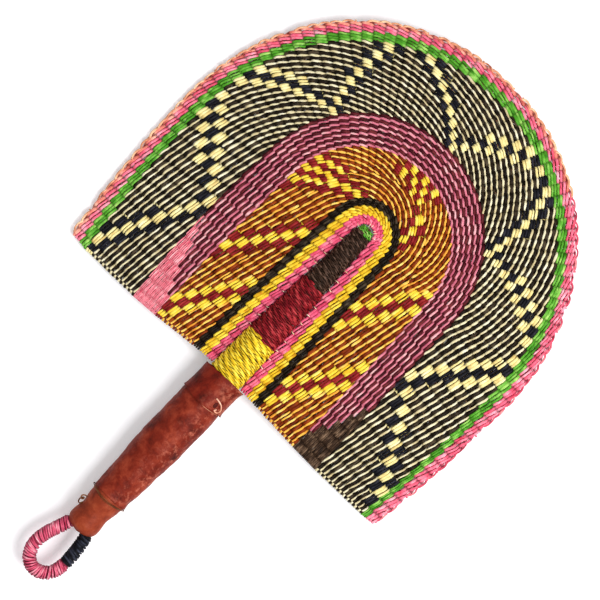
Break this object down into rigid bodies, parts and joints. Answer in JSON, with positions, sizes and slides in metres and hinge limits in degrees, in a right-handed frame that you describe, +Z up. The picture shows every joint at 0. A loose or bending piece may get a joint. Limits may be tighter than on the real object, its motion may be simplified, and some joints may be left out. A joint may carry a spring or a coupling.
{
  "type": "hand fan",
  "caption": "Woven straw hand fan with an arched blade of dyed courses, a leather-covered handle and a wound wrist loop.",
  "frame": {"origin": "the middle of the outer box in X and Y, at the surface that the fan lies on", "axes": "+Y along the handle towards the top of the arched blade, +Z up through the blade, +X to the right"},
  "size_m": [0.2526, 0.3842, 0.0268],
  "materials": {
    "straw_pink": "satin",
    "straw_yellow": "satin",
    "straw_black": "satin",
    "straw_gold": "satin",
    "straw_rose": "satin",
    "straw_natural": "satin",
    "straw_green": "satin",
    "straw_light_pink": "satin",
    "straw_brown": "satin",
    "straw_crimson": "satin",
    "straw_navy": "satin",
    "straw_undyed": "satin",
    "handle_wood": "matte",
    "leather_reddish": "satin",
    "leather_tan": "satin",
    "thread": "matte",
    "loop_cord": "matte"
  },
  "bodies": {
    "root": {"handle_core": "handle_wood", "grip_leather": "leather_reddish", "collar_leather": "leather_reddish", "cap_leather": "leather_tan", "collar_thong": "thread", "cap_tie_knot": "thread", "cap_tie": "thread", "loop_core": "loop_cord", "stakes": "straw_undyed", "courses_inner_pink": "straw_pink", "courses_yellow": "straw_yellow", "courses_black": "straw_black", "courses_gold": "straw_gold", "courses_rose": "straw_rose", "courses_natural": "straw_natural", "courses_green": "straw_green", "courses_rim": "straw_pink", "block_light_pink": "straw_light_pink", "block_brown": "straw_brown", "winding_yellow": "straw_yellow", "winding_crimson": "straw_crimson", "winding_brown": "straw_brown", "winding_green": "straw_green", "loop_winding_pink": "straw_pink", "loop_winding_navy": "straw_navy"}
  },
  "joints": []
}
